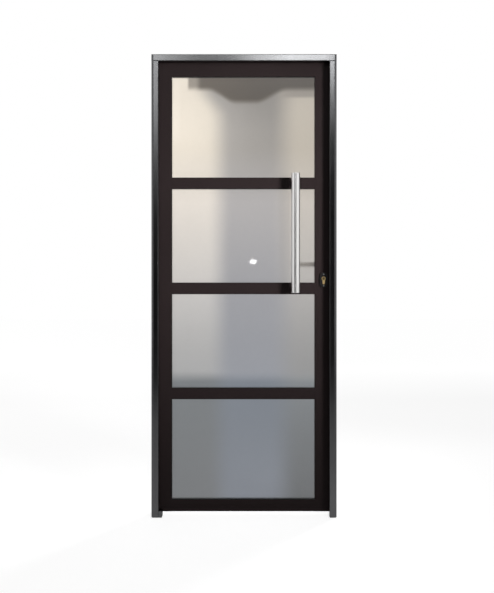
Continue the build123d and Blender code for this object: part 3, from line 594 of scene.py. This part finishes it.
def pale_floor():
    """A plain pale floor that shows white and keeps the door's shadow. Its glow, which lights
    nothing, grows away from the camera: for the camera's own rays behind the door, and for mirrored
    ones in front of it."""
    side, front, back = 14.0, -4.2, 14.0
    corners = [(-side, front, 0), (side, front, 0), (side, back, 0), (-side, back, 0)]
    mesh = bpy.data.meshes.new("floor")
    mesh.from_pydata(corners, [], [(0, 1, 2, 3)])
    floor = bpy.data.objects.new("floor", mesh)
    bpy.context.scene.collection.objects.link(floor)
    material = bpy.data.materials.new("floor_pale")
    material.use_nodes = True
    material.node_tree.nodes.clear()
    w = Wiring(material.node_tree, "Object")
    depth = w.axis("Y")
    mirrored = w.remap(depth, front, -0.6, 0.10, 0.60)
    seen = w.remap(depth, 3.4, 5.5, 0.85, 0.95)
    level = w.mix(w.ray_is("Is Camera Ray"), mirrored, seen, data="FLOAT")
    shown = w.ray_is("Is Camera Ray", "Is Glossy Ray", "Is Transmission Ray")
    glow = w.add("ShaderNodeEmission")
    w.feed(glow.inputs["Strength"], w.math("MULTIPLY", shown, level))
    matt = w.add("ShaderNodeBsdfDiffuse")
    w.feed(matt.inputs["Color"], (0.6, 0.6, 0.6))
    both = w.add("ShaderNodeAddShader")
    w.feed(both.inputs[0], matt.outputs[0])
    w.feed(both.inputs[1], glow.outputs[0])
    w.feed(w.add("ShaderNodeOutputMaterial").inputs["Surface"], both.outputs[0])
    mesh.materials.append(material)


def studio_world():
    """White all round, with a dark patch in front of the door that only metal and gloss mirror, and
    a low even fill as its light."""
    dark, fill_level = 0.035, 0.07
    world = bpy.data.worlds.new("studio")
    bpy.context.scene.world = world
    world.use_nodes = True
    world.node_tree.nodes.clear()
    w = Wiring(world.node_tree, "Generated")
    backwards = w.math("MULTIPLY_ADD", w.axis("X"), 0.12, w.axis("Y"))
    patch = w.soft(backwards, -0.92, -0.70, dark, 1.0)
    show = w.add("ShaderNodeBackground")
    w.feed(show.inputs["Color"], (1, 1, 1))
    white = w.ray_is("Is Camera Ray", "Is Transmission Ray")
    w.feed(show.inputs["Strength"], w.math("MAXIMUM", patch, white))
    fill = w.add("ShaderNodeBackground")
    w.feed(fill.inputs["Color"], (1, 1, 1))
    w.feed(fill.inputs["Strength"], fill_level)
    pick = w.add("ShaderNodeMixShader")
    w.feed(pick.inputs["Fac"], w.ray_is("Is Camera Ray", "Is Glossy Ray", "Is Transmission Ray"))
    w.feed(pick.inputs[1], fill.outputs[0])
    w.feed(pick.inputs[2], show.outputs[0])
    w.feed(w.add("ShaderNodeOutputWorld").inputs["Surface"], pick.outputs[0])


def soft_lamp(name, spot, aim, width, height, level, spread=180, mirrored=True, through=True):
    """A rectangular lamp. level is the brightness of its face, where 1 is white, and spread the
    cone of its light in degrees. Metal and gloss show it where it is mirrored, and the panes where
    it is through."""
    lamp = bpy.data.lights.new(name, "AREA")
    lamp.shape = "RECTANGLE"
    lamp.size = width
    lamp.size_y = height
    lamp.energy = level * math.pi * width * height
    lamp.spread = math.radians(spread)
    thing = bpy.data.objects.new(name, lamp)
    bpy.context.scene.collection.objects.link(thing)
    thing.location = spot
    x, y, z = np.array(aim, float) - np.array(spot, float)
    thing.rotation_euler = (math.atan2(math.hypot(x, y), -z), 0, math.atan2(-x, y))
    thing.visible_glossy = mirrored
    thing.visible_transmission = through


def front_lamp(depth, left, right, low, high, level):
    """A lamp behind the camera, facing the door, given by its edges."""
    x, z = (left + right) / 2, (low + high) / 2
    soft_lamp("front", (x, -depth, z), (x, 0, z), right - left, high - low, level, through=False)


def lamps():
    """The key lamp on the right throws the lock side jamb's shadow on the leaf. The front lamps are
    what the metallic frame mirrors: its head the first, second and fifth, the hinge side jamb the
    third and fourth, and the lock side jamb the last."""
    hidden = dict(mirrored=False, through=False)
    soft_lamp("key", (2.6, -3.8, 1.6), (0.05, 0, 1.45), 1.0, 1.2, 4.2, 36, **hidden)
    front_lamp(4.30, -1.45, 1.00, 2.80, 3.40, 1.2)
    front_lamp(4.34, -1.50, -0.68, 2.76, 3.35, 4.6)
    front_lamp(4.32, -1.40, -0.62, 2.20, 2.76, 3.2)
    front_lamp(4.30, -1.40, -0.62, 1.70, 2.20, 0.4)
    front_lamp(4.38, 0.06, 0.81, 2.80, 3.36, 13.5)
    front_lamp(4.30, 0.68, 1.20, 2.35, 2.78, 1.3)
    soft_lamp("side", (2.1, -3.8, 1.0), (0.22, 0, 1.1), 0.9, 1.3, 1.0, through=False)
    glint_x, glint_z = 0.045, 1.108
    spot, aim = (glint_x, -4.2, glint_z), (glint_x, 0, glint_z)
    soft_lamp("glint", spot, aim, 0.06, 0.035, 110, through=False)
    soft_lamp("back", (-1.5, 4.0, 3.0), (0, 0, 1.0), 3.0, 2.0, 1.0)
    soft_lamp("room", (2.2, 3.6, 1.9), (0, 0, 1.1), 1.6, 1.8, 1.9, 40, **hidden)


def photo_camera():
    """Straight at the door from 4 m. The picture's middle is given in pixels from the door's middle
    and from the floor, and the shift brings it there from the camera's axis. The sensor's width is
    its long, upright side."""
    picture_height, metres_per_pixel = 593, 0.004313
    middle_x, middle_z = 3.0 * metres_per_pixel, 221.3 * metres_per_pixel
    axis_x, axis_z, distance, door_face = 0.034, 1.10, 4.0, -0.05
    view_height = picture_height * metres_per_pixel
    data = bpy.data.cameras.new("camera")
    camera = bpy.data.objects.new("camera", data)
    bpy.context.scene.collection.objects.link(camera)
    data.sensor_width = 24
    data.lens = data.sensor_width * distance / view_height
    data.shift_x = (middle_x - axis_x) / view_height
    data.shift_y = (middle_z - axis_z) / view_height
    data.clip_end = 100
    camera.location = (axis_x, door_face - distance, axis_z)
    camera.rotation_euler = (math.pi / 2, 0, 0)
    bpy.context.scene.camera = camera


pale_floor()
studio_world()
lamps()
photo_camera()
bpy.context.scene.view_settings.view_transform = "Standard"
